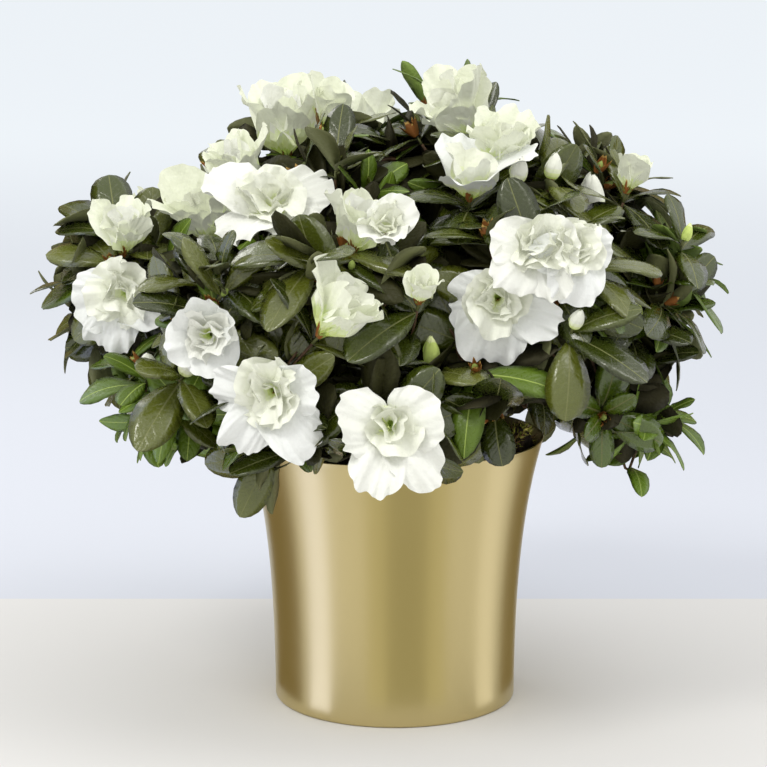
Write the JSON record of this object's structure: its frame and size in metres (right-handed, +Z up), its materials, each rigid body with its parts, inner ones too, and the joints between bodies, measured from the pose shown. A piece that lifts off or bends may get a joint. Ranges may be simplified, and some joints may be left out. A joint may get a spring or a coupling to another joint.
{
  "type": "potted azalea",
  "caption": "Compact evergreen azalea in double white flower, growing from a short woody stem in a smooth satin gold pot.",
  "frame": {"origin": "centre of the flat underside of the pot", "axes": "+Z up the plant, -Y towards the front, +X to the right seen from the front"},
  "size_m": [0.3748, 0.3328, 0.3546],
  "materials": {
    "pot_metal": "satin",
    "soil": "matte",
    "wood": "matte",
    "leaves": "satin"
  },
  "bodies": {
    "root": {"bough_back_left": "wood", "bough_back_right": "wood", "bough_front_left": "wood", "bough_front_right": "wood", "bough_left": "wood", "bough_right": "wood", "bough_top_left": "wood", "bough_top_right": "wood", "bough_upper_back": "wood", "bough_upper_front": "wood", "branch_back": "wood", "branch_front": "wood", "branch_low_back": "wood", "branch_low_back_left": "wood", "branch_low_back_right": "wood", "branch_low_left": "wood", "branch_low_right": "wood", "branch_low_side_left": "wood", "branch_middle_front": "wood", "branch_middle_left": "wood", "branch_middle_right": "wood", "branch_upper_left": "wood", "branch_upper_middle": "wood", "branch_upper_right": "wood", "leaves_back": "leaves", "leaves_back_left": "leaves", "leaves_back_right": "leaves", "leaves_front": "leaves", "leaves_front_left": "leaves", "leaves_front_right": "leaves", "leaves_left": "leaves", "leaves_low_back": "leaves", "leaves_low_back_left": "leaves", "leaves_low_back_right": "leaves", "leaves_low_left": "leaves", "leaves_low_right": "leaves", "leaves_low_side_left": "leaves", "leaves_middle_front": "leaves", "leaves_middle_left": "leaves", "leaves_middle_right": "leaves", "leaves_right": "leaves", "leaves_top_left": "leaves", "leaves_top_right": "leaves", "leaves_upper_back": "leaves", "leaves_upper_front": "leaves", "leaves_upper_left": "leaves", "leaves_upper_middle": "leaves", "leaves_upper_right": "leaves", "pot": "pot_metal", "soil": "soil", "trunk": "wood"}
  },
  "joints": []
}
